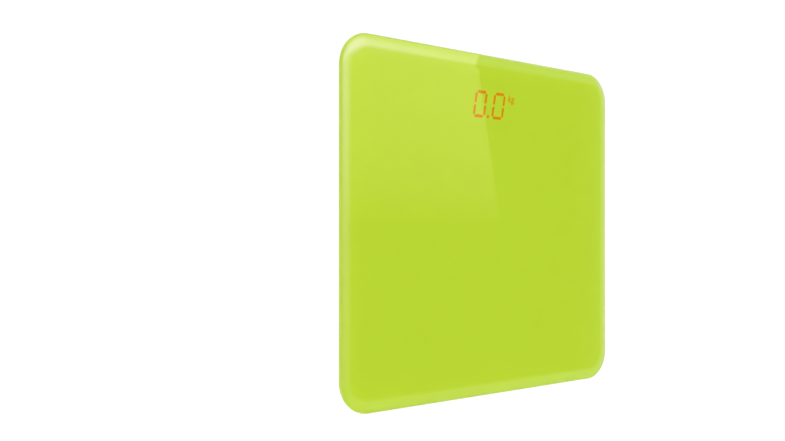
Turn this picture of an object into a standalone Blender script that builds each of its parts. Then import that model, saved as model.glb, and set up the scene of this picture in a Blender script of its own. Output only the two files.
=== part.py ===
"""A slim body-weight scale with a coloured glass platform.

The glass is bonded to a carrier plate, and a bottom cover closes the housing below it. Under each
corner a foot presses on the tongue of a load cell, which the carrier plate holds by its outer frame.
An LED display looks up through the coloured film, three AAA cells lie behind a hinged lid in the
bottom cover, and a unit button sits under the circuit board.

Metres, +Z up, +X to the right and +Y towards the display. The origin is on the floor, at the centre
of the footprint.
"""

import math

import bmesh
import bpy
from mathutils import Matrix, Vector

# Platform glass and the layers under it
WIDTH = 0.300
DEPTH = 0.270
CORNER_RADIUS = 0.0245
CORNER_STEPS = 8
GLASS_LOW = 0.0200
GLASS_HIGH = 0.0250
EDGE_RUN = 0.0100
EDGE_DROP = 0.0030
EDGE_STEPS = 5
GLASS_CHAMFER = 0.0006
FILM_INSET = 0.0015
FILM_LOW = 0.01970
FILM_HIGH = 0.01985
TAPE_LOW = 0.01915
TAPE_HIGH = 0.01955
TAPE_INSET = 0.0030
TAPE_WIDTH = 0.0070

# Housing
GAP = 0.0003
HOUSING_INSET = 0.0140
HOUSING_WIDTH = WIDTH - 2 * HOUSING_INSET
HOUSING_DEPTH = DEPTH - 2 * HOUSING_INSET
HOUSING_CORNER = 0.0140
HOUSING_STEPS = 5
CARRIER_LOW = 0.0170
CARRIER_HIGH = 0.0190
COVER_LOW = 0.0050
COVER_FLOOR = 0.0070
COVER_HIGH = CARRIER_LOW - GAP
COVER_WALL = 0.0020
COVER_EDGE = 0.0025
LIP_WALL = 0.0015
RIB_LOW = 0.0145
RIB_WALL = 0.0016
RIB_X = 0.060
RIB_Y = (-0.060, 0.050)

# Feet and load cells, the same under each corner
FOOT_X = 0.108
FOOT_Y = 0.093
CORNERS = (
    ("near_left", -FOOT_X, -FOOT_Y),
    ("near_right", FOOT_X, -FOOT_Y),
    ("far_left", -FOOT_X, FOOT_Y),
    ("far_right", FOOT_X, FOOT_Y),
)
ROUND_STEPS = 24
PAD_RADIUS = 0.0190
PAD_HIGH = 0.0025
CUP_LOW = PAD_HIGH + GAP
CUP_RADIUS = 0.0200
FLANGE_RADIUS = 0.0222
FLANGE_LOW = COVER_FLOOR + GAP
FLANGE_HIGH = FLANGE_LOW + 0.0010
FOOT_HOLE_RADIUS = 0.0206
BOSS_RADIUS = 0.0045
HOLDER_SIDE = 0.0380
HOLDER_LOW = 0.0094
HOLDER_FLOOR = 0.0107
HOLDER_HIGH = CARRIER_LOW - GAP
HOLDER_WALL = 0.0014
HOLDER_HOLE_RADIUS = 0.0062
CABLE_NOTCH = 0.0040
CELL_SIDE = 0.0340
CELL_LOW = HOLDER_FLOOR + GAP
CELL_HIGH = CELL_LOW + 0.0024
SLOT_WIDTH = 0.0020
TONGUE_WIDTH = 0.0180
TONGUE_LENGTH = 0.0220
SEAT_SIDE = 0.0330
SEAT_WALL = 0.0045

# Screws
COVER_SCREWS = (
    (-0.072, -0.108),
    (0.072, -0.108),
    (-0.125, 0.0),
    (0.125, 0.0),
    (-0.072, 0.108),
    (0.072, 0.108),
)
SCREW_STEPS = 12
SCREW_HEAD_RADIUS = 0.0028
SCREW_HEAD_LOW = 0.0061
SCREW_HEAD_HIGH = 0.0079
SCREW_SHANK_RADIUS = 0.00145
SCREW_TIP = 0.0150
SCREW_TUBE_RADIUS = 0.0047
SCREW_TUBE_HIGH = 0.0095
BOSS_OUTER_RADIUS = 0.0038
CLEARANCE = 0.00025

# Circuit board, display and unit button
DIGIT_HEIGHT = 0.0217
DIGIT_WIDTH = 0.01355
DIGIT_PITCH = 0.02091
DIGIT_SLANT = math.radians(10.7)
STROKE = 0.0023
SEGMENT_GAP = 0.0005
DISPLAY_BASE = 0.0848
FIRST_LIT_DIGIT = -0.02028
POINT_OFFSET = 0.01605
UNIT_X = 0.0170
UNIT_SIZE = (0.0080, 0.0066)
UNIT_HEIGHTS = (0.0140, 0.0060)
BLOCK_X = (-0.0540, 0.0307)
BLOCK_Y = (0.0822, 0.1100)
MASK_LOW = 0.0156
MASK_HIGH = 0.0194
LENS_LOW = 0.0148
LENS_BASE_HIGH = MASK_LOW - GAP
LENS_CLEARANCE = 0.00015
BOARD_X = (-0.0630, 0.0392)
BOARD_Y = (0.0790, 0.1130)
BOARD_LOW = 0.0129
BOARD_HIGH = 0.0145
BOARD_SCREWS = ((-0.0590, 0.0960), (0.0352, 0.0960))
BOARD_SCREW_HEAD = 0.0014
BOARD_SCREW_TIP = 0.0180
BOARD_HOLE_HIGH = 0.0183
CHIP_LOW = (-0.0338, 0.0910)
CHIP_HIGH = (-0.0238, 0.1010)
CHIP_HEIGHT = 0.0011
CRYSTAL_LOW = (0.0142, 0.0937)
CRYSTAL_HIGH = (0.0252, 0.0983)
CRYSTAL_HEIGHT = 0.0035
CRYSTAL_CORNER = 0.0022
BUTTON_X = 0.0
BUTTON_Y = 0.0960
BUTTON_RADIUS = 0.0060
BUTTON_FACE = 0.0052
BUTTON_DISH = 0.0004
BUTTON_FLANGE_RADIUS = 0.0075
BUTTON_TOP = 0.0081
PLUNGER_LOW = BUTTON_TOP + GAP
PLUNGER_HIGH = 0.0098
PLUNGER_RADIUS = 0.00175
SWITCH_LOW = 0.0094
SWITCH_HIGH = BOARD_LOW - GAP
SWITCH_SIDE = 0.0060

# Battery bay, cells, contacts and lid
BAY_X = 0.0
BAY_Y = -0.0100
BAY_WIDTH = 0.0340
BAY_LENGTH = 0.0520
BAY_WALL = 0.0012
BAY_ROOF_LOW = 0.0177
BAY_ROOF_HIGH = 0.0189
BAY_FRONT = BAY_Y - BAY_LENGTH / 2
BAY_BACK = BAY_Y + BAY_LENGTH / 2
BAY_RIM_WIDTH = 0.0470
BAY_RIM_HIGH = 0.0102
BATTERY_RADIUS = 0.00515
BATTERY_LENGTH = 0.0445
BATTERY_PITCH = 0.0110
BATTERY_Z = 0.01215
NIPPLE_RADIUS = 0.0019
NIPPLE_LENGTH = 0.0010
SHEET = 0.0004
SHEET_LOW = 0.0088
SHEET_HIGH = 0.0158
SPRING_WIRE = 0.0006
SPRING_TURNS = 3
SHEET_HALF = 0.0042
COIL_WIDE = 0.0034
COIL_NARROW = 0.0022
COIL_POINTS = 9
LID_WIDTH = 0.0380
LID_LOW = COVER_LOW
LID_HIGH = 0.0066
LID_BACK = 0.0190
HINGE_Y = -0.0380
HINGE_Z = 0.0068
HINGE_RADIUS = 0.0016
HINGE_LENGTH = 0.0300
PIN_RADIUS = 0.0008
PIN_REACH = 0.0018
SWING_ROOM = 0.0021
FINGER_HALF = 0.0070
FINGER_REACH = 0.0020
FINGER_DEPTH = 0.0012
LATCH_HALF = 0.0045
LATCH_LENGTH = 0.0090
LATCH_SLIT = 0.0008
GRIP_GROOVES = 4
GRIP_PITCH = 0.0024
GRIP_HALF = 0.0090
GRIP_WIDTH = 0.0010
GRIP_DEPTH = 0.0004

# Wiring inside the housing
CABLE_RADIUS = 0.0010
LEAD_RADIUS = 0.0006
CABLE_Z = 0.0084


def clear_scene():
    for obj in list(bpy.data.objects):
        bpy.data.objects.remove(obj, do_unlink=True)


def make_collection(name):
    collection = bpy.data.collections.new(name)
    bpy.context.scene.collection.children.link(collection)
    return collection


def make_material(name, color, roughness, metallic=0.0, transmission=0.0):
    material = bpy.data.materials.new(name)
    material.use_nodes = True
    material.diffuse_color = (*color, 1.0)
    shader = material.node_tree.nodes["Principled BSDF"]
    shader.inputs["Base Color"].default_value = (*color, 1.0)
    shader.inputs["Roughness"].default_value = roughness
    shader.inputs["Metallic"].default_value = metallic
    shader.inputs["Transmission Weight"].default_value = transmission
    return material


# Shapes added to a bmesh


def add_box(bm, low, high):
    low = Vector(low)
    high = Vector(high)
    place = Matrix.LocRotScale((low + high) / 2, None, high - low)
    return bmesh.ops.create_cube(bm, size=1.0, matrix=place)["verts"]


def add_slab(bm, low, high, radius, steps):
    """A box whose four upright edges are rounded."""
    verts = add_box(bm, low, high)
    edges = {edge for vert in verts for edge in vert.link_edges}
    upright = [edge for edge in edges if abs(edge.verts[0].co.z - edge.verts[1].co.z) > 1e-6]
    bmesh.ops.bevel(
        bm,
        geom=upright,
        offset=radius,
        offset_type="OFFSET",
        segments=steps,
        profile=0.5,
        affect="EDGES",
        clamp_overlap=False,
    )


def add_cylinder(bm, x, y, low, high, radius, steps=ROUND_STEPS):
    place = Matrix.Translation((x, y, (low + high) / 2))
    bmesh.ops.create_cone(
        bm,
        cap_ends=True,
        segments=steps,
        radius1=radius,
        radius2=radius,
        depth=high - low,
        matrix=place,
    )


def add_rod(bm, start, end, radius, steps=SCREW_STEPS):
    """A cylinder between two points on a line along X."""
    middle = (Vector(start) + Vector(end)) / 2
    place = Matrix.Translation(middle) @ Matrix.Rotation(math.pi / 2, 4, "Y")
    bmesh.ops.create_cone(
        bm,
        cap_ends=True,
        segments=steps,
        radius1=radius,
        radius2=radius,
        depth=abs(end[0] - start[0]),
        matrix=place,
    )


def bevel_level(bm, z, offset, steps):
    """Rounds the edge loop that runs round a body at height z."""
    level = [
        edge
        for edge in bm.edges
        if all(abs(vert.co.z - z) < 1e-6 for vert in edge.verts) and edge.calc_face_angle(0) > 0.1
    ]
    bmesh.ops.bevel(
        bm,
        geom=level,
        offset=offset,
        offset_type="OFFSET",
        segments=steps,
        profile=0.5,
        affect="EDGES",
        clamp_overlap=False,
    )


def mesh_of(name, bm):
    mesh = bpy.data.meshes.new(name)
    bm.to_mesh(mesh)
    bm.free()
    return mesh


def box_mesh(name, *boxes):
    """One mesh of separate boxes, each given by its low and high corner."""
    bm = bmesh.new()
    for low, high in boxes:
        add_box(bm, low, high)
    return mesh_of(name, bm)


def cylinder_mesh(name, places, low, high, radius, steps=ROUND_STEPS):
    """One mesh of separate upright cylinders, one at each place."""
    bm = bmesh.new()
    for x, y in places:
        add_cylinder(bm, x, y, low, high, radius, steps)
    return mesh_of(name, bm)


def slab_mesh(name, width, depth, low, high, radius, steps=HOUSING_STEPS):
    bm = bmesh.new()
    add_slab(bm, (-width / 2, -depth / 2, low), (width / 2, depth / 2, high), radius, steps)
    return mesh_of(name, bm)


def rounded_outline(low, high, radius, steps):
    """The points of a rectangle with round corners, anticlockwise."""
    corners = (
        (high[0] - radius, high[1] - radius),
        (low[0] + radius, high[1] - radius),
        (low[0] + radius, low[1] + radius),
        (high[0] - radius, low[1] + radius),
    )
    points = []
    for quarter, (x, y) in enumerate(corners):
        for step in range(steps + 1):
            angle = (quarter + step / steps) * math.pi / 2
            points.append((x + radius * math.cos(angle), y + radius * math.sin(angle)))
    return points


def outline_mesh(name, outlines, low, high):
    """A plate from flat outlines, where an outline inside another is a hole."""
    curve = bpy.data.curves.new(name, "CURVE")
    curve.dimensions = "2D"
    curve.fill_mode = "BOTH"
    curve.extrude = (high - low) / 2
    for outline in outlines:
        spline = curve.splines.new("POLY")
        spline.points.add(len(outline) - 1)
        spline.use_cyclic_u = True
        for point, (x, y) in zip(spline.points, outline):
            point.co = (x, y, 0.0, 1.0)
    flat = bpy.data.objects.new(name, curve)
    flat.location.z = (low + high) / 2
    bpy.context.scene.collection.objects.link(flat)
    bpy.context.view_layer.update()
    graph = bpy.context.evaluated_depsgraph_get()
    mesh = bpy.data.meshes.new_from_object(flat.evaluated_get(graph))
    mesh.transform(flat.matrix_world)
    bpy.data.objects.remove(flat)
    bm = bmesh.new()
    bm.from_mesh(mesh)
    bmesh.ops.remove_doubles(bm, verts=bm.verts, dist=1e-6)
    bmesh.ops.recalc_face_normals(bm, faces=bm.faces)
    bm.to_mesh(mesh)
    bm.free()
    return mesh


# Objects


def add_object(name, mesh, material, location=(0.0, 0.0, 0.0), rotation=(0.0, 0.0, 0.0)):
    obj = bpy.data.objects.new(name, mesh)
    obj.location = location
    obj.rotation_euler = rotation
    if not mesh.materials:
        mesh.materials.append(material)
    PARTS.objects.link(obj)
    return obj


def smooth(obj, angle=35.0):
    obj.data.shade_smooth()
    obj.data.set_sharp_from_angle(angle=math.radians(angle))
    return obj


def boolean(obj, operation, mesh):
    """Adds the mesh to the object or cuts it away, as a modifier with a hidden helper."""
    helper = bpy.data.objects.new(mesh.name, mesh)
    helper.hide_render = True
    helper.display_type = "WIRE"
    helper.location = obj.location
    helper.rotation_euler = obj.rotation_euler
    CUTTERS.objects.link(helper)
    modifier = obj.modifiers.new(mesh.name, "BOOLEAN")
    modifier.operation = operation
    modifier.solver = "EXACT"
    modifier.object = helper


def join(obj, mesh):
    boolean(obj, "UNION", mesh)


def cut(obj, mesh):
    boolean(obj, "DIFFERENCE", mesh)


def profile_mesh(name, profile):
    """The edges of a turned shape's profile, as radius and height, from the top down."""
    mesh = bpy.data.meshes.new(name)
    points = [(radius, 0.0, height) for radius, height in profile]
    edges = [(i, i + 1) for i in range(len(points) - 1)]
    mesh.from_pydata(points, edges, [])
    return mesh


def turn(obj, steps):
    screw = obj.modifiers.new("Turn", "SCREW")
    screw.steps = steps
    screw.render_steps = steps
    screw.use_merge_vertices = True
    screw.merge_threshold = 0.00001
    screw.use_smooth_shade = True
    return obj


def add_tube(name, points, radius, material):
    """A round wire or cable through the points, with closed ends."""
    curve = bpy.data.curves.new(name, "CURVE")
    curve.dimensions = "3D"
    curve.bevel_depth = radius
    curve.bevel_resolution = 2
    curve.use_fill_caps = True
    spline = curve.splines.new("POLY")
    spline.points.add(len(points) - 1)
    for point, place in zip(spline.points, points):
        point.co = (*place, 1.0)
    spline.use_smooth = True
    curve.materials.append(material)
    obj = bpy.data.objects.new(name, curve)
    PARTS.objects.link(obj)
    return obj


def smooth_route(route, steps):
    """Points on a Catmull-Rom curve through the route's own points."""
    ends = [2 * Vector(route[0]) - Vector(route[1])]
    ends += [Vector(point) for point in route]
    ends += [2 * Vector(route[-1]) - Vector(route[-2])]
    points = []
    for a, b, c, d in zip(ends, ends[1:], ends[2:], ends[3:]):
        for step in range(steps):
            t = step / steps
            points.append(
                0.5
                * (
                    2 * b
                    + (c - a) * t
                    + (2 * a - 5 * b + 4 * c - d) * t**2
                    + (3 * b - a - 3 * c + d) * t**3
                )
            )
    return [*points, ends[-2]]


# Platform


def make_glass(material):
    """The rounded border is a round bevel on a taller block, which is then flattened."""
    stretch = EDGE_RUN / EDGE_DROP
    height = (GLASS_HIGH - GLASS_LOW) * stretch
    bm = bmesh.new()
    add_slab(
        bm,
        (-WIDTH / 2, -DEPTH / 2, 0.0),
        (WIDTH / 2, DEPTH / 2, height),
        CORNER_RADIUS,
        CORNER_STEPS,
    )
    bevel_level(bm, height, EDGE_RUN, EDGE_STEPS)
    bmesh.ops.scale(bm, vec=(1.0, 1.0, 1.0 / stretch), verts=bm.verts)
    bmesh.ops.translate(bm, vec=(0.0, 0.0, GLASS_LOW), verts=bm.verts)
    bevel_level(bm, GLASS_LOW, GLASS_CHAMFER, 1)
    smooth(add_object("glass_platform", mesh_of("glass_platform", bm), material), 20.0)


def make_film(material):
    film = slab_mesh(
        "colour_film",
        WIDTH - 2 * FILM_INSET,
        DEPTH - 2 * FILM_INSET,
        FILM_LOW,
        FILM_HIGH,
        CORNER_RADIUS - FILM_INSET,
        CORNER_STEPS,
    )
    add_object("colour_film", film, material)


def make_tape(material):
    outer = (HOUSING_WIDTH / 2 - TAPE_INSET, HOUSING_DEPTH / 2 - TAPE_INSET)
    inner = (outer[0] - TAPE_WIDTH, outer[1] - TAPE_WIDTH)
    outer_radius = HOUSING_CORNER - TAPE_INSET
    outlines = (
        rounded_outline((-outer[0], -outer[1]), outer, outer_radius, HOUSING_STEPS),
        rounded_outline((-inner[0], -inner[1]), inner, outer_radius - TAPE_WIDTH / 2, HOUSING_STEPS),
    )
    add_object("bonding_tape", outline_mesh("bonding_tape", outlines, TAPE_LOW, TAPE_HIGH), material)


# Carrier plate


def seat_frames():
    """The square frames that press on the outer frame of each load cell."""
    bm = bmesh.new()
    half = SEAT_SIDE / 2
    hole = half - SEAT_WALL
    for _, x, y in CORNERS:
        for side in (-1, 1):
            edge = sorted((side * hole, side * half))
            add_box(
                bm,
                (x - half, y + edge[0], CELL_HIGH + GAP),
                (x + half, y + edge[1], CARRIER_LOW + GAP),
            )
    return mesh_of("cell_seats", bm)


def make_carrier(material):
    carrier = add_object(
        "carrier_plate",
        slab_mesh(
            "carrier_plate",
            HOUSING_WIDTH,
            HOUSING_DEPTH,
            CARRIER_LOW,
            CARRIER_HIGH,
            HOUSING_CORNER,
        ),
        material,
    )
    into_plate = CARRIER_LOW + GAP
    lip = (
        HOUSING_WIDTH / 2 - COVER_WALL - GAP,
        HOUSING_DEPTH / 2 - COVER_WALL - GAP,
    )
    lip_radius = HOUSING_CORNER - COVER_WALL - GAP
    inner = (lip[0] - LIP_WALL, lip[1] - LIP_WALL)
    join(
        carrier,
        outline_mesh(
            "carrier_lip",
            (
                rounded_outline((-lip[0], -lip[1]), lip, lip_radius, HOUSING_STEPS),
                rounded_outline(
                    (-inner[0], -inner[1]), inner, lip_radius - LIP_WALL, HOUSING_STEPS
                ),
            ),
            RIB_LOW,
            into_plate,
        ),
    )
    join(carrier, seat_frames())
    reach = inner[1] + LIP_WALL / 2
    join(
        carrier,
        box_mesh(
            "long_ribs",
            *(
                (
                    (side * RIB_X - RIB_WALL / 2, -reach, RIB_LOW),
                    (side * RIB_X + RIB_WALL / 2, RIB_Y[1] + RIB_WALL, into_plate),
                )
                for side in (-1, 1)
            ),
        ),
    )
    reach = inner[0] + LIP_WALL / 2
    join(
        carrier,
        box_mesh(
            "cross_ribs",
            *(
                ((-reach, y - RIB_WALL / 2, RIB_LOW), (reach, y + RIB_WALL / 2, into_plate))
                for y in RIB_Y
            ),
        ),
    )
    boss_low = SCREW_TUBE_HIGH + GAP
    join(
        carrier,
        cylinder_mesh(
            "screw_bosses", COVER_SCREWS, boss_low, into_plate, BOSS_OUTER_RADIUS, SCREW_STEPS
        ),
    )
    join(
        carrier,
        cylinder_mesh(
            "board_bosses",
            BOARD_SCREWS,
            BOARD_HIGH + GAP,
            into_plate,
            BOSS_OUTER_RADIUS - GAP,
            SCREW_STEPS,
        ),
    )
    hole_radius = SCREW_SHANK_RADIUS + CLEARANCE
    cut(
        carrier,
        cylinder_mesh(
            "boss_holes", COVER_SCREWS, boss_low - GAP, SCREW_TIP + GAP, hole_radius, SCREW_STEPS
        ),
    )
    cut(
        carrier,
        cylinder_mesh(
            "board_boss_holes", BOARD_SCREWS, BOARD_HIGH, BOARD_HOLE_HIGH, hole_radius, SCREW_STEPS
        ),
    )
    bay_half = (BAY_WIDTH / 2 + BAY_WALL + GAP, BAY_LENGTH / 2 + BAY_WALL + GAP)
    below = CARRIER_LOW - GAP
    above = CARRIER_HIGH + GAP
    cut(
        carrier,
        box_mesh(
            "plate_windows",
            (
                (BLOCK_X[0] - GAP, BLOCK_Y[0] - GAP, below),
                (BLOCK_X[1] + GAP, BLOCK_Y[1] + GAP, above),
            ),
            (
                (BAY_X - bay_half[0], BAY_Y - bay_half[1], below),
                (BAY_X + bay_half[0], BAY_Y + bay_half[1], above),
            ),
        ),
    )


# Bottom cover and its lid


def make_cover(material):
    bm = bmesh.new()
    half = (HOUSING_WIDTH / 2, HOUSING_DEPTH / 2)
    add_slab(
        bm, (-half[0], -half[1], COVER_LOW), (*half, COVER_HIGH), HOUSING_CORNER, HOUSING_STEPS
    )
    bevel_level(bm, COVER_LOW, COVER_EDGE, 3)
    cover = smooth(add_object("bottom_cover", mesh_of("bottom_cover", bm), material))
    cut(
        cover,
        slab_mesh(
            "cover_inside",
            HOUSING_WIDTH - 2 * COVER_WALL,
            HOUSING_DEPTH - 2 * COVER_WALL,
            COVER_FLOOR,
            COVER_HIGH + GAP,
            HOUSING_CORNER - COVER_WALL,
        ),
    )
    into_floor = COVER_FLOOR - GAP
    join(
        cover,
        cylinder_mesh(
            "screw_tubes", COVER_SCREWS, into_floor, SCREW_TUBE_HIGH, SCREW_TUBE_RADIUS, SCREW_STEPS
        ),
    )
    rim_front = HINGE_Y - SWING_ROOM - 2 * BAY_WALL
    rim_back = LID_BACK + GAP + 2 * BAY_WALL
    join(
        cover,
        box_mesh(
            "bay_rim",
            (
                (-BAY_RIM_WIDTH / 2, rim_front, into_floor),
                (BAY_RIM_WIDTH / 2, rim_back, BAY_RIM_HIGH),
            ),
        ),
    )
    join(
        cover,
        box_mesh(
            "bay_walls",
            (
                (
                    BAY_X - BAY_WIDTH / 2 - BAY_WALL,
                    BAY_FRONT - BAY_WALL,
                    BAY_RIM_HIGH - GAP,
                ),
                (BAY_X + BAY_WIDTH / 2 + BAY_WALL, BAY_BACK + BAY_WALL, BAY_ROOF_HIGH),
            ),
        ),
    )
    cut(
        cover,
        box_mesh(
            "bay_inside",
            (
                (BAY_X - BAY_WIDTH / 2, BAY_FRONT, COVER_LOW - GAP),
                (BAY_X + BAY_WIDTH / 2, BAY_BACK, BAY_ROOF_LOW),
            ),
        ),
    )
    lid_half = LID_WIDTH / 2 + GAP
    cut(
        cover,
        box_mesh(
            "lid_recess",
            (
                (BAY_X - lid_half, HINGE_Y - SWING_ROOM, COVER_LOW - GAP),
                (BAY_X + lid_half, LID_BACK + GAP, LID_HIGH + GAP),
            ),
        ),
    )
    barrel_half = HINGE_LENGTH / 2 + GAP
    cut(
        cover,
        box_mesh(
            "barrel_recess",
            (
                (BAY_X - barrel_half, HINGE_Y - SWING_ROOM, COVER_LOW - GAP),
                (BAY_X + barrel_half, BAY_FRONT + GAP, HINGE_Z + HINGE_RADIUS + GAP),
            ),
        ),
    )
    bm = bmesh.new()
    for side in (-1, 1):
        inner = side * (barrel_half - GAP)
        outer = side * (HINGE_LENGTH / 2 + PIN_REACH + GAP)
        add_rod(
            bm, (inner, HINGE_Y, HINGE_Z), (outer, HINGE_Y, HINGE_Z), PIN_RADIUS + CLEARANCE
        )
    cut(cover, mesh_of("pin_sockets", bm))
    cut(
        cover,
        box_mesh(
            "finger_notch",
            (
                (-FINGER_HALF, LID_BACK, COVER_LOW - GAP),
                (FINGER_HALF, LID_BACK + FINGER_REACH, COVER_LOW + FINGER_DEPTH),
            ),
        ),
    )
    feet = [(x, y) for _, x, y in CORNERS]
    cut(
        cover,
        cylinder_mesh(
            "foot_holes", feet, COVER_LOW - GAP, COVER_FLOOR + GAP, FOOT_HOLE_RADIUS, ROUND_STEPS
        ),
    )
    cut(
        cover,
        cylinder_mesh(
            "button_hole",
            [(BUTTON_X, BUTTON_Y)],
            COVER_LOW - GAP,
            COVER_FLOOR + GAP,
            BUTTON_RADIUS + GAP,
            ROUND_STEPS,
        ),
    )
    cut(
        cover,
        cylinder_mesh(
            "head_wells",
            COVER_SCREWS,
            COVER_LOW - GAP,
            SCREW_HEAD_HIGH + GAP,
            SCREW_HEAD_RADIUS + GAP,
            ROUND_STEPS // 2,
        ),
    )
    cut(
        cover,
        cylinder_mesh(
            "shank_holes",
            COVER_SCREWS,
            COVER_LOW,
            SCREW_TUBE_HIGH + GAP,
            SCREW_SHANK_RADIUS + CLEARANCE,
            SCREW_STEPS,
        ),
    )


def make_lid(material):
    """The lid turns on a barrel with a pin at each end. Its origin is on that axis."""
    lid_low = LID_LOW - HINGE_Z
    lid_high = LID_HIGH - HINGE_Z
    back = LID_BACK - HINGE_Y
    plate = box_mesh("battery_lid", ((-LID_WIDTH / 2, 0.0, lid_low), (LID_WIDTH / 2, back, lid_high)))
    lid = add_object("battery_lid", plate, material, (BAY_X, HINGE_Y, HINGE_Z))
    half = HINGE_LENGTH / 2
    barrel = bmesh.new()
    add_rod(barrel, (-half, 0.0, 0.0), (half, 0.0, 0.0), HINGE_RADIUS)
    join(lid, mesh_of("lid_barrel", barrel))
    pins = bmesh.new()
    for side in (-1, 1):
        add_rod(
            pins,
            (side * (half - GAP), 0.0, 0.0),
            (side * (half + PIN_REACH), 0.0, 0.0),
            PIN_RADIUS,
        )
    join(lid, mesh_of("lid_pins", pins))
    cut(
        lid,
        box_mesh(
            "latch_slits",
            *(
                (
                    (side * LATCH_HALF - LATCH_SLIT / 2, back - LATCH_LENGTH, lid_low - GAP),
                    (side * LATCH_HALF + LATCH_SLIT / 2, back + GAP, lid_high + GAP),
                )
                for side in (-1, 1)
            ),
        ),
    )
    first = back - LATCH_LENGTH - GRIP_GROOVES * GRIP_PITCH
    grooves = (
        (
            (-GRIP_HALF, first + i * GRIP_PITCH, lid_low - GAP),
            (GRIP_HALF, first + i * GRIP_PITCH + GRIP_WIDTH, lid_low + GRIP_DEPTH),
        )
        for i in range(GRIP_GROOVES)
    )
    cut(lid, box_mesh("grip_grooves", *grooves))


# Feet and load cells


def make_feet(cup_material, pad_material):
    pad = profile_mesh(
        "foot_pad",
        (
            (0.0, PAD_HIGH),
            (PAD_RADIUS, PAD_HIGH),
            (PAD_RADIUS, 0.0005),
            (PAD_RADIUS - 0.0005, 0.0),
            (0.0150, 0.0),
            (0.0144, 0.0006),
            (0.0116, 0.0006),
            (0.0110, 0.0),
            (0.0, 0.0),
        ),
    )
    cup = profile_mesh(
        "foot_cup",
        (
            (0.0, HOLDER_FLOOR),
            (BOSS_RADIUS, HOLDER_FLOOR),
            (BOSS_RADIUS, FLANGE_HIGH),
            (FLANGE_RADIUS, FLANGE_HIGH),
            (FLANGE_RADIUS, FLANGE_LOW),
            (CUP_RADIUS, FLANGE_LOW),
            (CUP_RADIUS, CUP_LOW),
            (0.0, CUP_LOW),
        ),
    )
    for corner, x, y in CORNERS:
        turn(add_object("foot_pad_" + corner, pad, pad_material, (x, y, 0.0)), ROUND_STEPS)
        turn(add_object("foot_cup_" + corner, cup, cup_material, (x, y, 0.0)), ROUND_STEPS)


def make_load_cells(steel, plastic):
    half = CELL_SIDE / 2
    outer = TONGUE_WIDTH / 2 + SLOT_WIDTH
    inner = TONGUE_WIDTH / 2
    start = -TONGUE_LENGTH / 2
    end = TONGUE_LENGTH / 2
    slot = (
        (-outer, start),
        (-outer, end + SLOT_WIDTH),
        (outer, end + SLOT_WIDTH),
        (outer, start),
        (inner, start),
        (inner, end),
        (-inner, end),
        (-inner, start),
    )
    plate = rounded_outline((-half, -half), (half, half), 0.0025, 3)
    cell = outline_mesh("load_cell", (plate, slot), CELL_LOW, CELL_HIGH)
    holder_half = HOLDER_SIDE / 2
    room = holder_half - HOLDER_WALL
    for corner, x, y in CORNERS:
        facing = (0.0, 0.0, math.pi if x > 0 else 0.0)
        add_object("load_cell_" + corner, cell, steel, (x, y, 0.0), facing)
        holder = slab_mesh(
            "cell_holder_" + corner, HOLDER_SIDE, HOLDER_SIDE, HOLDER_LOW, HOLDER_HIGH, 0.0030, 3
        )
        holder = add_object("cell_holder_" + corner, holder, plastic, (x, y, 0.0), facing)
        cut(
            holder,
            slab_mesh(
                "holder_inside",
                2 * room,
                2 * room,
                HOLDER_FLOOR,
                HOLDER_HIGH + GAP,
                0.0016,
                2,
            ),
        )
        cut(
            holder,
            cylinder_mesh(
                "holder_hole",
                [(0.0, 0.0)],
                HOLDER_LOW - GAP,
                HOLDER_FLOOR + GAP,
                HOLDER_HOLE_RADIUS,
                ROUND_STEPS // 2,
            ),
        )
        cut(
            holder,
            box_mesh(
                "cable_notch",
                (
                    (room - GAP, -CABLE_NOTCH / 2, HOLDER_FLOOR),
                    (holder_half + GAP, CABLE_NOTCH / 2, HOLDER_HIGH + GAP),
                ),
            ),
        )


# Screws


def make_screws(material):
    shank = profile_mesh(
        "cover_screw",
        (
            (0.0, SCREW_TIP),
            (SCREW_SHANK_RADIUS * 0.6, SCREW_TIP - 0.0010),
            (SCREW_SHANK_RADIUS, SCREW_TIP - 0.0020),
            (SCREW_SHANK_RADIUS, SCREW_HEAD_HIGH),
            (SCREW_HEAD_RADIUS, SCREW_HEAD_HIGH),
            (SCREW_HEAD_RADIUS, SCREW_HEAD_LOW + 0.0006),
            (SCREW_HEAD_RADIUS * 0.7, SCREW_HEAD_LOW),
            (0.0, SCREW_HEAD_LOW),
        ),
    )
    for number, (x, y) in enumerate(COVER_SCREWS, 1):
        turn(add_object(f"cover_screw_{number}", shank, material, (x, y, 0.0)), SCREW_STEPS)
    head_low = BOARD_LOW - GAP - BOARD_SCREW_HEAD
    small = profile_mesh(
        "board_screw",
        (
            (0.0, BOARD_SCREW_TIP),
            (SCREW_SHANK_RADIUS, BOARD_SCREW_TIP - 0.0008),
            (SCREW_SHANK_RADIUS, BOARD_LOW - GAP),
            (SCREW_HEAD_RADIUS * 0.9, BOARD_LOW - GAP),
            (SCREW_HEAD_RADIUS * 0.9, head_low + 0.0005),
            (SCREW_HEAD_RADIUS * 0.6, head_low),
            (0.0, head_low),
        ),
    )
    for number, (x, y) in enumerate(BOARD_SCREWS, 1):
        turn(add_object(f"board_screw_{number}", small, material, (x, y, 0.0)), SCREW_STEPS)


# Display


def slanted(points, x):
    """Points of an upright figure, leaned over and moved to their place on the display."""
    lean = math.tan(DIGIT_SLANT)
    return [(x + px + py * lean, DISPLAY_BASE + py) for px, py in points]


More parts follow.
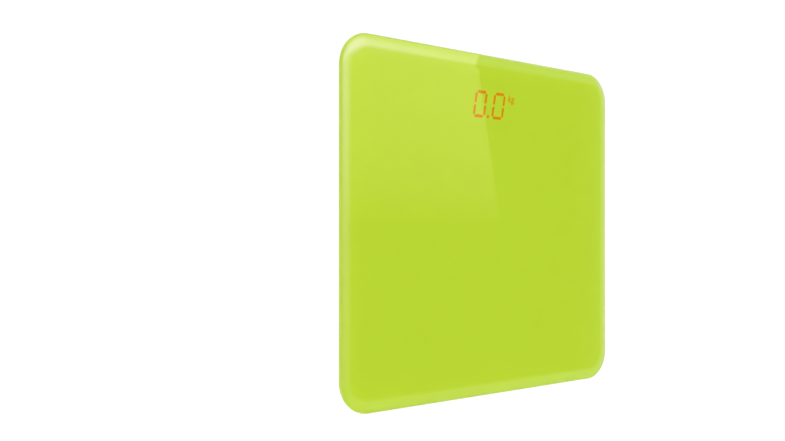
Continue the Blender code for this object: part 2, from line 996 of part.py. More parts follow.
def bar(start, end, grow):
    """A seven-segment bar with pointed ends, from tip to tip, along X or along Y."""
    half = STROKE / 2 + grow
    tip = grow * math.sqrt(2)
    (x0, y0), (x1, y1) = start, end
    if y0 == y1:
        x0 -= tip
        x1 += tip
        return [
            (x0, y0),
            (x0 + half, y0 - half),
            (x1 - half, y0 - half),
            (x1, y0),
            (x1 - half, y0 + half),
            (x0 + half, y0 + half),
        ]
    y0 -= tip
    y1 += tip
    return [
        (x0, y0),
        (x0 + half, y0 + half),
        (x0 + half, y1 - half),
        (x0, y1),
        (x0 - half, y1 - half),
        (x0 - half, y0 + half),
    ]


def digit_bars(x, grow, names):
    left = STROKE / 2
    right = DIGIT_WIDTH - STROKE / 2
    low = STROKE / 2
    middle = DIGIT_HEIGHT / 2
    high = DIGIT_HEIGHT - STROKE / 2
    gap = SEGMENT_GAP
    ends = {
        "a": ((left + gap, high), (right - gap, high)),
        "b": ((right, middle + gap), (right, high - gap)),
        "c": ((right, low + gap), (right, middle - gap)),
        "d": ((left + gap, low), (right - gap, low)),
        "e": ((left, low + gap), (left, middle - gap)),
        "f": ((left, middle + gap), (left, high - gap)),
        "g": ((left + gap, middle), (right - gap, middle)),
    }
    return [slanted(bar(*ends[name], grow), x) for name in names]


def block_outline(x, low, size, grow):
    """The slanted window of a unit mark or the decimal point."""
    corners = (
        (-grow, low - grow),
        (size[0] + grow, low - grow),
        (size[0] + grow, low + size[1] + grow),
        (-grow, low + size[1] + grow),
    )
    return slanted(corners, x)


def display_outlines(grow):
    """Every lit figure of the display: a half digit, three digits, a point and two unit marks."""
    first = FIRST_LIT_DIGIT
    outlines = digit_bars(first - 2 * DIGIT_PITCH, grow, "bc")
    for place in (-1, 0, 1):
        outlines += digit_bars(first + place * DIGIT_PITCH, grow, "abcdefg")
    outlines.append(block_outline(first + POINT_OFFSET, 0.0004, (STROKE, STROKE), grow))
    for height in UNIT_HEIGHTS:
        outlines.append(block_outline(UNIT_X, height, UNIT_SIZE, grow))
    return outlines


def make_display(mask_material, lens_material):
    face = rounded_outline(
        (BLOCK_X[0], BLOCK_Y[0]), (BLOCK_X[1], BLOCK_Y[1]), 0.0010, 2
    )
    mask = outline_mesh("display_mask", (face, *display_outlines(LENS_CLEARANCE)), MASK_LOW, MASK_HIGH)
    add_object("display_mask", mask, mask_material)
    base = box_mesh(
        "display_lens",
        (
            (BLOCK_X[0] + GAP, BLOCK_Y[0] + GAP, LENS_LOW),
            (BLOCK_X[1] - GAP, BLOCK_Y[1] - GAP, LENS_BASE_HIGH),
        ),
    )
    lens = add_object("display_lens", base, lens_material)
    join(lens, outline_mesh("lens_figures", display_outlines(0.0), LENS_LOW + 0.0002, MASK_HIGH))


# Circuit board, switch and button


def make_board(board_material, chip_material, metal):
    board = add_object(
        "circuit_board",
        box_mesh(
            "circuit_board",
            ((BOARD_X[0], BOARD_Y[0], BOARD_LOW), (BOARD_X[1], BOARD_Y[1], BOARD_HIGH)),
        ),
        board_material,
    )
    cut(
        board,
        cylinder_mesh(
            "board_holes",
            BOARD_SCREWS,
            BOARD_LOW - GAP,
            BOARD_HIGH + GAP,
            SCREW_SHANK_RADIUS + CLEARANCE,
            SCREW_STEPS,
        ),
    )
    top = BOARD_LOW - GAP
    chip = box_mesh("controller_chip", ((*CHIP_LOW, top - CHIP_HEIGHT), (*CHIP_HIGH, top)))
    add_object("controller_chip", chip, chip_material)
    bm = bmesh.new()
    add_slab(bm, (*CRYSTAL_LOW, top - CRYSTAL_HEIGHT), (*CRYSTAL_HIGH, top), CRYSTAL_CORNER, 4)
    smooth(add_object("clock_crystal", mesh_of("clock_crystal", bm), metal))


def make_button(button_material, switch_material):
    """The button and the switch plunger share one axis, which is their origin in X and Y."""
    place = (BUTTON_X, BUTTON_Y, 0.0)
    half = SWITCH_SIDE / 2
    switch = add_object(
        "switch_body",
        box_mesh("switch_body", ((-half, -half, SWITCH_LOW), (half, half, SWITCH_HIGH))),
        switch_material,
        place,
    )
    cut(
        switch,
        cylinder_mesh(
            "plunger_hole",
            [(0.0, 0.0)],
            SWITCH_LOW - GAP,
            PLUNGER_HIGH + 0.0009,
            PLUNGER_RADIUS + CLEARANCE,
            SCREW_STEPS,
        ),
    )
    plunger = cylinder_mesh(
        "switch_plunger", [(0.0, 0.0)], PLUNGER_LOW, PLUNGER_HIGH, PLUNGER_RADIUS, SCREW_STEPS
    )
    smooth(add_object("switch_plunger", plunger, switch_material, place))
    button = profile_mesh(
        "unit_button",
        (
            (0.0, BUTTON_TOP),
            (BUTTON_FLANGE_RADIUS, BUTTON_TOP),
            (BUTTON_FLANGE_RADIUS, COVER_FLOOR + GAP),
            (BUTTON_RADIUS, COVER_FLOOR + GAP),
            (BUTTON_RADIUS, BUTTON_FACE + 0.0004),
            (BUTTON_RADIUS - 0.0004, BUTTON_FACE),
            (BUTTON_RADIUS * 0.75, BUTTON_FACE),
            (BUTTON_RADIUS * 0.4, BUTTON_FACE + BUTTON_DISH * 0.8),
            (0.0, BUTTON_FACE + BUTTON_DISH),
        ),
    )
    turn(add_object("unit_button", button, button_material, place), ROUND_STEPS)


# Batteries and contacts


def make_batteries(material, metal):
    """Three AAA cells side by side, joined in series, with the outer two facing the display."""
    radius = BATTERY_RADIUS
    profile = profile_mesh(
        "battery",
        (
            (0.0, BATTERY_LENGTH),
            (NIPPLE_RADIUS, BATTERY_LENGTH),
            (NIPPLE_RADIUS, BATTERY_LENGTH - NIPPLE_LENGTH),
            (radius - 0.0006, BATTERY_LENGTH - NIPPLE_LENGTH),
            (radius, BATTERY_LENGTH - NIPPLE_LENGTH - 0.0005),
            (radius, 0.0004),
            (radius - 0.0005, 0.0),
            (0.0, 0.0),
        ),
    )
    margin = 2 * GAP + SHEET
    seat = margin + GAP
    for place, name in ((-1, "left"), (0, "middle"), (1, "right")):
        x = BAY_X + place * BATTERY_PITCH
        toward_display = place != 0
        facing = -1 if toward_display else 1
        tip = BAY_BACK - margin if toward_display else BAY_FRONT + margin
        base = tip - BATTERY_LENGTH if toward_display else tip + BATTERY_LENGTH
        turn(
            add_object(
                "battery_" + name,
                profile,
                material,
                (x, base, BATTERY_Z),
                (facing * math.pi / 2, 0.0, 0.0),
            ),
            ROUND_STEPS - 4,
        )
        wall = BAY_FRONT + seat if toward_display else BAY_BACK - seat
        end = base - GAP if toward_display else base + GAP
        add_tube("contact_spring_" + name, coil(x, wall, end), SPRING_WIRE / 2, metal)
    pitch = BATTERY_PITCH
    sheets = (
        ("positive_contact", -pitch, -pitch, BAY_BACK - GAP - SHEET),
        ("display_side_bridge", 0.0, pitch, BAY_BACK - GAP - SHEET),
        ("near_side_bridge", -pitch, 0.0, BAY_FRONT + GAP),
        ("negative_contact", pitch, pitch, BAY_FRONT + GAP),
    )
    for name, first, last, y in sheets:
        low = (BAY_X + first - SHEET_HALF, y, SHEET_LOW)
        high = (BAY_X + last + SHEET_HALF, y + SHEET, SHEET_HIGH)
        add_object(name, box_mesh(name, (low, high)), metal)


def coil(x, wall, end):
    """A cone-shaped spring along Y, wide at the wall and narrow at the cell."""
    inset = SPRING_WIRE / 2 if end > wall else -SPRING_WIRE / 2
    count = SPRING_TURNS * COIL_POINTS
    points = []
    for i in range(count + 1):
        share = i / count
        angle = 2 * math.pi * SPRING_TURNS * share
        radius = COIL_WIDE + (COIL_NARROW - COIL_WIDE) * share
        y = wall + inset + (end - wall - 2 * inset) * share
        points.append(
            (x + radius * math.cos(angle), y, BATTERY_Z + radius * math.sin(angle))
        )
    return points


# Wiring


def make_wiring(cable_material, red, black):
    """A cable from each load cell to the board, and two leads from the battery bay."""
    cell_edge = FOOT_X - CELL_SIDE / 2 - GAP
    wall = FOOT_X - HOLDER_SIDE / 2
    mid_z = (CELL_LOW + CELL_HIGH) / 2
    board_end = BOARD_LOW - GAP
    ends = {
        "near_left": -0.0500,
        "near_right": 0.0302,
        "far_left": -0.0550,
        "far_right": 0.0342,
    }
    for corner, cell_x, cell_y in CORNERS:
        side = -1 if cell_x < 0 else 1
        target = ends[corner]
        route = [
            (side * cell_edge, cell_y, mid_z),
            (side * (wall - 0.0030), cell_y, mid_z),
            (side * (wall - 0.0090), cell_y + 0.0010, CABLE_Z + 0.0004),
        ]
        if cell_y < 0:
            route += [
                (side * 0.0680, cell_y + 0.0200, CABLE_Z),
                (side * 0.0660, -0.0300, CABLE_Z),
                (side * 0.0660, 0.0300, CABLE_Z),
                (target + side * 0.0080, 0.0700, CABLE_Z),
            ]
        else:
            route += [(target + side * 0.0100, cell_y - 0.0060, CABLE_Z)]
        route += [
            (target + side * 0.0010, 0.0850, CABLE_Z + 0.0006),
            (target, 0.0858, board_end),
        ]
        add_tube("cell_cable_" + corner, smooth_route(route, 2), CABLE_RADIUS, cable_material)
    bay_side = BAY_WIDTH / 2 + BAY_WALL + LEAD_RADIUS + GAP
    rim_side = BAY_RIM_WIDTH / 2 + LEAD_RADIUS + GAP
    leads = (
        ("lead_positive", red, -1, BAY_BACK, -0.0148),
        ("lead_negative", black, 1, BAY_FRONT, 0.0032),
    )
    for name, material, side, start_y, target in leads:
        route = [
            (side * bay_side, start_y, BAY_RIM_HIGH + 0.0030),
            (side * (bay_side + 0.0006), start_y + 0.0030, BAY_RIM_HIGH + 0.0026),
            (side * rim_side, start_y + 0.0080, BAY_RIM_HIGH + 0.0012),
            (side * (rim_side + 0.0014), start_y + 0.0130, CABLE_Z),
            (side * (rim_side + 0.0014), 0.0350, CABLE_Z),
            (target, 0.0700, CABLE_Z),
            (target, 0.0815, CABLE_Z + 0.0005),
            (target, 0.0825, board_end),
        ]
        add_tube(name, smooth_route(route, 2), LEAD_RADIUS, material)


def main():
    clear_glass = make_material("tempered_glass", (0.93, 0.97, 0.95), 0.02, transmission=1.0)
    lime_film = make_material("lime_film", (0.479, 0.679, 0.034), 0.35)
    foam = make_material("foam_tape", (0.72, 0.72, 0.70), 0.90)
    white_abs = make_material("white_abs", (0.76, 0.77, 0.75), 0.45)
    holder_abs = make_material("holder_abs", (0.20, 0.21, 0.22), 0.50)
    cup_abs = make_material("foot_abs", (0.58, 0.59, 0.58), 0.45)
    rubber = make_material("grip_rubber", (0.10, 0.10, 0.105), 0.80)
    steel = make_material("spring_steel", (0.56, 0.57, 0.58), 0.30, metallic=1.0)
    zinc = make_material("zinc_screw", (0.62, 0.63, 0.64), 0.35, metallic=1.0)
    green_board = make_material("board_laminate", (0.03, 0.20, 0.09), 0.40)
    chip_black = make_material("chip_black", (0.02, 0.02, 0.022), 0.45)
    mask_black = make_material("display_mask", (0.03, 0.03, 0.032), 0.55)
    lens_orange = make_material("display_lens", (0.84, 0.20, 0.01), 0.30)
    button_grey = make_material("button_grey", (0.26, 0.27, 0.28), 0.55)
    battery_shell = make_material("battery_shell", (0.06, 0.09, 0.16), 0.30, metallic=0.6)
    cable_white = make_material("cable_white", (0.80, 0.80, 0.78), 0.50)
    lead_red = make_material("lead_red", (0.60, 0.03, 0.02), 0.45)
    lead_black = make_material("lead_black", (0.02, 0.02, 0.02), 0.45)

    make_glass(clear_glass)
    make_film(lime_film)
    make_tape(foam)
    make_carrier(white_abs)
    make_cover(white_abs)
    make_lid(white_abs)
    make_feet(cup_abs, rubber)
    make_load_cells(steel, holder_abs)
    make_screws(zinc)
    make_display(mask_black, lens_orange)
    make_board(green_board, chip_black, steel)
    make_button(button_grey, chip_black)
    make_batteries(battery_shell, steel)
    make_wiring(cable_white, lead_red, lead_black)


clear_scene()
PARTS = make_collection("body_weight_scale")
CUTTERS = make_collection("cutters")
CUTTERS.hide_render = True
main()
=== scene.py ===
"""The looks of the slim body-weight scale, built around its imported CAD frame.

Metres, +Z up, +X to the right, +Y towards the display. Places come from the frame's own boxes or
from the driving dimensions below. A dimension that the CAD model has too is repeated from it, with
three exceptions: the glass's rounded border starts further in and more softly, the ink is thicker
and reaches nearer to the edge of the glass, and the unit's letters are a font's.
"""

import math

import bmesh
import bpy
from mathutils import Matrix, Vector


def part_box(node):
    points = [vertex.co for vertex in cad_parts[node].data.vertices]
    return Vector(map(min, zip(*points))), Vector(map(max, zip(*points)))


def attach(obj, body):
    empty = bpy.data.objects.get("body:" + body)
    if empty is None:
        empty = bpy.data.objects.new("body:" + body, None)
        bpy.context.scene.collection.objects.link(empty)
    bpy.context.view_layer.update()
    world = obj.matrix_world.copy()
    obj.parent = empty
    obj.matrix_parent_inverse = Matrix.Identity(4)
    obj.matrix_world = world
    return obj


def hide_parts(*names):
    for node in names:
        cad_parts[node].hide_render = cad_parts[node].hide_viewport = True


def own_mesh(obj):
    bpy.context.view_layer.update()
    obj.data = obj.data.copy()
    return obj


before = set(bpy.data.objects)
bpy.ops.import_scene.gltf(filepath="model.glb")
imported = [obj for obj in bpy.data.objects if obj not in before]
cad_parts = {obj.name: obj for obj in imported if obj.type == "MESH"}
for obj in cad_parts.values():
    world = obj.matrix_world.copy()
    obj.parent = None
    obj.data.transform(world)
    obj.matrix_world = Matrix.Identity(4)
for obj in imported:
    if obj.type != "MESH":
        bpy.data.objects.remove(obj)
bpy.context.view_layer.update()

HOUSING = "housing"
CORNERS = ("near_left", "near_right", "far_left", "far_right")
COVER_SCREWS = 6

# Platform glass, and the ink behind it
CORNER_RADIUS = 0.0245
CORNER_STEPS = 24
EDGE_RUN = 0.0120
EDGE_DROP = 0.0030
EDGE_POWER = 2.3
EDGE_STEPS = 24
GLASS_CHAMFER = 0.0006
CHAMFER_STEPS = 4
GLASS_SHARP = 50.0
FILM_INSET = 0.0004
FILM_THICKNESS = 0.00020
FILM_BOND = 0.00002

# Display figures
DIGIT_HEIGHT = 0.0217
DIGIT_WIDTH = 0.01355
DIGIT_PITCH = 0.02091
DIGIT_LEAN = math.tan(math.radians(10.7))
STROKE = 0.0023
SEGMENT_GAP = 0.0005
DISPLAY_BASE = 0.0848
FIRST_LIT_DIGIT = -0.02028
POINT_OFFSET = 0.01605
POINT_LOW = 0.0004
UNIT_X = 0.0174
UNIT_BASE = 0.0155
UNIT_SIZE = 0.0076
UNIT_STRETCH = 1.08
UNIT_BOLD = 0.010 * UNIT_SIZE
FIGURE_THICKNESS = 0.00004

# Feet
TURNED_STEPS = 72
ARC_STEPS = 5
PAD_EDGE = 0.0007
PAD_GROOVE_DEPTH = 0.0006
PAD_GROOVES = (
    (0.0020, 0.0028),
    (0.0050, 0.0058),
    (0.0080, 0.0088),
    (0.0110, 0.0150),
    (0.0165, 0.0173),
)
CUP_EDGE = 0.0006
CUP_RADIUS = 0.0200
BOSS_RADIUS = 0.0045
FLANGE_RISE = 0.0045
FLANGE_THICKNESS = 0.0010

# Screws, button and battery cells
SCREW_STEPS = 32
SCREW_HEAD = 0.0018
SCREW_SHANK_RADIUS = 0.00145
SCREW_TAPER = 0.0020
SCREW_TIP_RADIUS = 0.6 * SCREW_SHANK_RADIUS
CROSS_ARM = 0.0017
CROSS_WIDTH = 0.00065
CROSS_DEPTH = 0.0010
BUTTON_RADIUS = 0.0060
BUTTON_EDGE = 0.0004
BUTTON_FLANGE = 0.0008
DISH_RADIUS = 0.75 * BUTTON_RADIUS
DISH_DEPTH = 0.0004
BAND_START = 0.74

# How the meshes are finished, with angles in degrees
SHARP = 30.0
WELD = 0.00001
ROUND_MOULDED = 0.0002
ROUND_BOARD = 0.0001
ROUND_WIRE = 0.00005
ROUND_ANGLE = 35.0
ROUND_WIRE_ANGLE = 50.0

# Camera and floor
CAMERA_PLACE = (-0.53766, -0.01014, 0.53061)
CAMERA_DOWN = math.radians(49.4475)
CAMERA_LENS = 42.279
CAMERA_SENSOR = 36.0
CAMERA_SHIFT = 0.02201
CAMERA_CLIP = 0.01
FLOOR_REACH = 6.0

# Colours, as linear values. A painted shade darkens the ink over a short stretch of X at the left
# border.
LIME = (0.648, 0.842, 0.034)
ORANGE = (0.765, 0.24, 0.0)
WHITE = (1.0, 1.0, 1.0)
LEFT_PAINTED_SHADE = 0.95
LEFT_SHADE_SPAN = (-0.1400, -0.1460)

# The part of a noise texture's range that most of its values lie in, and a grain for fine plastic
NOISE_RANGE = (0.3, 0.7)
FINE_GRAIN = 0.00001

# Directions of the lights that the glass mirrors, in degrees from straight up: towards +X for LEFT,
# RIGHT and EDGE_GLOW, and towards +Y for NEAR, FAR and SHINE_START. Each pair is where the light
# begins and where it is full. RIM_CENTRE has both directions, and a spread has one value for each
# side of the centre.
STRIP_LEFT = (34.0, 17.0)
STRIP_RIGHT = (51.5, 57.0)
STRIP_FAR = (14.0, 23.0)
STRIP_NEAR = (-12.5, -20.0)
RIM_LEFT = (34.0, 4.0)
RIM_FAR = (13.5, 22.0)
RIM_CENTRE = (29.0, 27.0)
RIM_SPREAD_X = (55.0, 14.0)
RIM_SPREAD_Y = (22.0, 15.0)
EDGE_GLOW = (62.0, 74.0)
EDGE_GLOW_NEAR = (-45.0, -30.0)
EDGE_GLOW_FAR = (85.0, 78.0)
SHINE_START = 1.0
SHINE_FADE = 7.0
SHINE_LEFT = (-40.0, -25.0)
SHINE_FAR = (72.0, 60.0)

# The slanting flag that cuts the shine, as tangents of directions from straight up
FLAG_X = 1.080
FLAG_Y = 0.0427
FLAG_TOP = 0.2752
FLAG_SLOPE = 0.2226
FLAG_BLUR = 0.003

# Strengths and colours of the lights. The dome's light grows with the height of its direction.
CALM_LIGHT = 0.30
STRIP_LIGHT = 0.90
RIM_LIGHT = 7.1
EDGE_GLOW_LIGHT = 1.3
SHINE_LIGHT = 1.9
DOME_HEIGHTS = (-0.2, 1.0)
DOME_LIGHT = (1.215, 1.4175)
SHINE_COLOR = (1.0, 0.85, 0.44)
RIM_COLOR = (0.60, 0.27, 1.0)
CALM_COLOR = (1.0, 1.0, 0.4)

# The least height of a direction, which keeps its tangents finite
LEAST_HEIGHT = 0.02


# Nodes


def new_node(tree, kind, settings=None, **inputs):
    node = tree.nodes.new(kind)
    for name, value in (settings or {}).items():
        setattr(node, name, value)
    for name, value in inputs.items():
        feed(tree, node.inputs[name.replace("_", " ")], value)
    return node


def feed(tree, socket, value):
    """Links an output socket to an input, or sets the input's own value."""
    if isinstance(value, bpy.types.NodeSocket):
        tree.links.new(value, socket)
    else:
        socket.default_value = value


def with_alpha(value):
    """A colour as four values. A socket stays as it is, and so does a number."""
    return (*value, 1.0) if isinstance(value, tuple) else value


def times(color, factor):
    return tuple(factor * part for part in color)


def calc(tree, operation, first, second=0.0, third=0.0):
    node = new_node(tree, "ShaderNodeMath", {"operation": operation})
    for socket, value in zip(node.inputs, (first, second, third)):
        feed(tree, socket, value)
    return node.outputs[0]


def most(tree, first, *others):
    for other in others:
        first = calc(tree, "MAXIMUM", first, other)
    return first


def product(tree, first, *others):
    for other in others:
        first = calc(tree, "MULTIPLY", first, other)
    return first


def ramp(tree, value, low, high, out_low=0.0, out_high=1.0):
    """A smooth step of the value, from out_low at low to out_high at high."""
    node = new_node(
        tree,
        "ShaderNodeMapRange",
        {"interpolation_type": "SMOOTHSTEP"},
        Value=value,
        From_Min=low,
        From_Max=high,
        To_Min=out_low,
        To_Max=out_high,
    )
    return node.outputs[0]


def mix_color(tree, factor, first, second):
    node = new_node(tree, "ShaderNodeMix", {"data_type": "RGBA"})
    feed(tree, node.inputs[0], factor)
    feed(tree, node.inputs[6], with_alpha(first))
    feed(tree, node.inputs[7], with_alpha(second))
    return node.outputs[2]


def tinted(tree, color, strength):
    node = new_node(tree, "ShaderNodeVectorMath", {"operation": "SCALE"}, Scale=strength)
    feed(tree, node.inputs[0], color)
    return node.outputs[0]


def sum_of(tree, first, second):
    node = new_node(tree, "ShaderNodeVectorMath", {"operation": "ADD"})
    feed(tree, node.inputs[0], first)
    feed(tree, node.inputs[1], second)
    return node.outputs[0]


def object_place(tree, scale=(1.0, 1.0, 1.0)):
    """The piece's own coordinates in metres, which ride with its body."""
    place = tree.nodes.new("ShaderNodeTexCoord").outputs["Object"]
    return new_node(tree, "ShaderNodeMapping", Vector=place, Scale=scale).outputs[0]


def noise(tree, place, scale, detail, roughness=0.5):
    node = new_node(
        tree,
        "ShaderNodeTexNoise",
        Vector=place,
        Scale=scale,
        Detail=detail,
        Roughness=roughness,
    )
    return node.outputs[0]


def bump(tree, height, distance):
    return new_node(tree, "ShaderNodeBump", Height=height, Distance=distance).outputs[0]


def new_material(name):
    """A new material, its node tree and its Principled shader."""
    material = bpy.data.materials.new(name)
    material.use_nodes = True
    tree = material.node_tree
    return material, tree, tree.nodes["Principled BSDF"]


def set_shader(tree, shader, **inputs):
    for name, value in inputs.items():
        feed(tree, shader.inputs[name.replace("_", " ")], with_alpha(value))


# Materials


def glass_material():
    """Clear glass with the slow, very shallow waves that tempering leaves."""
    material, tree, shader = new_material("tempered_glass")
    wave = noise(tree, object_place(tree), scale=14.0, detail=1.0)
    set_shader(
        tree,
        shader,
        Base_Color=(0.985, 1.0, 0.99),
        Roughness=0.0,
        IOR=1.5,
        Transmission_Weight=1.0,
        Normal=bump(tree, wave, distance=0.000002),
    )
    return material


def film_material():
    """Ink on the back of the glass: an even lime with the faint mottle of a screen print, and a
    painted shade along its left border.
    """
    material, tree, shader = new_material("lime_ink")
    place = object_place(tree)
    cloud = noise(tree, place, scale=30.0, detail=2.0)
    speck = noise(tree, place, scale=2200.0, detail=2.0)
    shade = calc(tree, "ADD", product(tree, cloud, 0.6), product(tree, speck, 0.4))
    even = mix_color(tree, shade, times(LIME, 0.975), times(LIME, 1.025))
    # Painted shade: along the left border the ink is mixed towards a darker lime.
    left = new_node(tree, "ShaderNodeSeparateXYZ", Vector=place).outputs["X"]
    painted_shade = ramp(tree, left, *LEFT_SHADE_SPAN)
    set_shader(
        tree,
        shader,
        Base_Color=mix_color(tree, painted_shade, even, times(LIME, LEFT_PAINTED_SHADE)),
        Roughness=ramp(tree, speck, *NOISE_RANGE, 0.42, 0.52),
        Specular_IOR_Level=0.15,
        Normal=bump(tree, speck, distance=0.00001),
    )
    return material


def lit_material():
    """LED light through the ink, very slightly uneven."""
    material, tree, shader = new_material("lit_orange")
    uneven = noise(tree, object_place(tree), scale=420.0, detail=1.0)
    set_shader(
        tree,
        shader,
        Base_Color=(0.02, 0.006, 0.0),
        Roughness=0.6,
        Specular_IOR_Level=0.0,
        Emission_Color=mix_color(tree, uneven, times(ORANGE, 0.94), ORANGE),
        Emission_Strength=1.0,
    )
    return material


def moulded(name, color, grain=0.00003, rough=(0.42, 0.55), grain_size=0.0004):
    """Spark-eroded moulded plastic: fine grain, with slow variation in colour and gloss."""
    material, tree, shader = new_material(name)
    place = object_place(tree)
    fine = noise(tree, place, scale=1.0 / grain_size, detail=3.0, roughness=0.6)
    slow = noise(tree, place, scale=45.0, detail=2.0)
    set_shader(
        tree,
        shader,
        Base_Color=mix_color(tree, slow, times(color, 0.95), times(color, 1.04)),
        Roughness=ramp(tree, fine, *NOISE_RANGE, *rough),
        Normal=bump(tree, fine, distance=grain),
    )
    return material


def rubber_material():
    """Black rubber with a rough skin and a little dust."""
    material, tree, shader = new_material("grip_rubber")
    place = object_place(tree)
    fine = noise(tree, place, scale=3200.0, detail=3.0, roughness=0.7)
    dust = ramp(tree, noise(tree, place, scale=160.0, detail=3.0), 0.45, 0.75)
    set_shader(
        tree,
        shader,
        Base_Color=mix_color(tree, dust, (0.055, 0.055, 0.058), (0.10, 0.10, 0.10)),
        Roughness=ramp(tree, fine, *NOISE_RANGE, 0.72, 0.88),
        Normal=bump(tree, fine, distance=0.00004),
    )
    return material


def foam_material():
    """White foam tape, with the small cells of its cut edge."""
    material, tree, shader = new_material("foam_tape")
    place = object_place(tree)
    cells = new_node(tree, "ShaderNodeTexVoronoi", Vector=place, Scale=4200.0).outputs["Distance"]
    set_shader(
        tree,
        shader,
        Base_Color=mix_color(tree, cells, (0.55, 0.55, 0.54), (0.78, 0.78, 0.76)),
        Roughness=0.9,
        Normal=bump(tree, cells, distance=0.00005),
    )
    return material


def metal_material(name, color, rough, stretch):
    """Metal with the fine lines of rolling, drawn out along the axis with the smallest stretch."""
    material, tree, shader = new_material(name)
    lines = noise(tree, object_place(tree, stretch), scale=900.0, detail=4.0, roughness=0.6)
    dull = ramp(tree, noise(tree, object_place(tree), scale=120.0, detail=2.0), 0.3, 0.8)
    set_shader(
        tree,
        shader,
        Base_Color=mix_color(tree, dull, color, times(color, 0.82)),
        Metallic=1.0,
        Roughness=ramp(tree, lines, *NOISE_RANGE, rough - 0.08, rough + 0.10),
        Normal=bump(tree, lines, distance=0.00002),
    )
    return material


def board_material():
    """Green solder mask over copper tracks, with the weave of the glass cloth showing through."""
    material, tree, shader = new_material("circuit_laminate")
    place = object_place(tree)
    tracks = new_node(
        tree,
        "ShaderNodeTexBrick",
        {"offset": 0.5, "squash": 1.0},
        Vector=place,
        Scale=180.0,
        Mortar_Size=0.045,
        Mortar_Smooth=0.1,
    ).outputs["Fac"]
    weave = new_node(
        tree, "ShaderNodeTexWave", {"bands_direction": "DIAGONAL"}, Vector=place, Scale=900.0
    ).outputs["Fac"]
    cloth = product(tree, weave, 0.35)
    mask = mix_color(tree, cloth, (0.012, 0.10, 0.045), (0.02, 0.15, 0.07))
    set_shader(
        tree,
        shader,
        Base_Color=mix_color(tree, tracks, mask, (0.05, 0.27, 0.10)),
        Roughness=ramp(tree, weave, 0.2, 0.8, 0.28, 0.40),
        Normal=bump(tree, tracks, distance=0.00004),
    )
    return material


def battery_material(node, positive_far):
    """A printed sleeve: a silver band towards the positive end and a dark body."""
    material, tree, shader = new_material("sleeve_" + node)
    place = object_place(tree)
    along = new_node(tree, "ShaderNodeSeparateXYZ", Vector=place).outputs["Y"]
    grain = noise(tree, place, scale=800.0, detail=2.0)
    low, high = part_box(node)
    start, end = (low.y, high.y) if positive_far else (high.y, low.y)
    beyond = "GREATER_THAN" if positive_far else "LESS_THAN"
    band = calc(tree, beyond, along, start + BAND_START * (end - start))
    set_shader(
        tree,
        shader,
        Base_Color=mix_color(tree, band, (0.03, 0.05, 0.11), (0.55, 0.56, 0.58)),
        Metallic=product(tree, band, 0.8),
        Roughness=ramp(tree, grain, *NOISE_RANGE, 0.22, 0.34),
        Normal=bump(tree, grain, distance=0.00001),
    )
    return material


def floor_material():
    """A white light table, which softens every shadow and can be looked through from below."""
    material, tree, shader = new_material("pale_floor")
    set_shader(
        tree,
        shader,
        Base_Color=(0.12, 0.12, 0.12),
        Roughness=0.9,
        Specular_IOR_Level=0.0,
        Emission_Color=WHITE,
        Emission_Strength=0.93,
    )
    facing = tree.nodes.new("ShaderNodeNewGeometry").outputs["Backfacing"]
    clear = tree.nodes.new("ShaderNodeBsdfTransparent")
    mixed = tree.nodes.new("ShaderNodeMixShader")
    tree.links.new(facing, mixed.inputs[0])
    tree.links.new(shader.outputs[0], mixed.inputs[1])
    tree.links.new(clear.outputs[0], mixed.inputs[2])
    tree.links.new(mixed.outputs[0], tree.nodes["Material Output"].inputs["Surface"])
    return material


# Mesh helpers


def add_piece(name, mesh, material, body, *replaced, slot):
    obj = bpy.data.objects.new(name, mesh)
    bpy.context.scene.collection.objects.link(obj)
    mesh.materials.clear()
    mesh.materials.append(material)
    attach(obj, body)
    if replaced:
        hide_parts(*replaced)
    return obj


def mesh_of(name, bm, sharp=SHARP):
    bmesh.ops.recalc_face_normals(bm, faces=bm.faces)
    mesh = bpy.data.meshes.new(name)
    bm.to_mesh(mesh)
    bm.free()
    mesh.shade_smooth()
    mesh.set_sharp_from_angle(angle=math.radians(sharp))
    return mesh


def middle(low, high):
    return (low + high) / 2


def quarter_arc(steps):
    """The angles of a quarter turn, in even steps."""
    return [math.pi / 2 * step / steps for step in range(steps + 1)]


def platform_ring(bm, low, high, inset, z):
    """The vertices of the platform's rounded outline, moved inwards by the inset."""
    radius = CORNER_RADIUS - inset
    left, right = low.x + CORNER_RADIUS, high.x - CORNER_RADIUS
    near, far = low.y + CORNER_RADIUS, high.y - CORNER_RADIUS
    ring = []
    for quarter, (x, y) in enumerate(((right, far), (left, far), (left, near), (right, near))):
        for turn in quarter_arc(CORNER_STEPS):
            angle = quarter * math.pi / 2 + turn
            place = (x + radius * math.cos(angle), y + radius * math.sin(angle), z)
            ring.append(bm.verts.new(place))
    return ring


def platform_slab(name, profile, sharp=SHARP):
    """A slab of the platform's outline. Its edge follows the profile, as inset and height."""
    low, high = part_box("glass_platform")
    bm = bmesh.new()
    rings = [platform_ring(bm, low, high, inset, z) for inset, z in profile]
    count = len(rings[0])
    for below, above in zip(rings, rings[1:]):
        for i in range(count):
            following = (i + 1) % count
            bm.faces.new((below[i], below[following], above[following], above[i]))
    bm.faces.new(list(reversed(rings[0])))
    bm.faces.new(rings[-1])
    return mesh_of(name, bm, sharp)


# Platform


def make_glass(material):
    """Clear glass with a small round below. Its wide, soft border above is a superellipse."""
    low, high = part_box("glass_platform")
    profile = [
        (GLASS_CHAMFER * (1 - math.sin(turn)), low.z + GLASS_CHAMFER * (1 - math.cos(turn)))
        for turn in quarter_arc(CHAMFER_STEPS)
    ]
    power = 2 / EDGE_POWER
    for turn in quarter_arc(EDGE_STEPS)[:-1]:
        inset = EDGE_RUN * (1 - math.cos(turn) ** power)
        drop = EDGE_DROP * (1 - math.sin(turn) ** power)
        profile.append((inset, high.z - drop))
    profile.append((EDGE_RUN, high.z))
    mesh = platform_slab("platform_glass", profile, GLASS_SHARP)
    add_piece("platform_glass", mesh, material, HOUSING, "glass_platform", slot="glass")


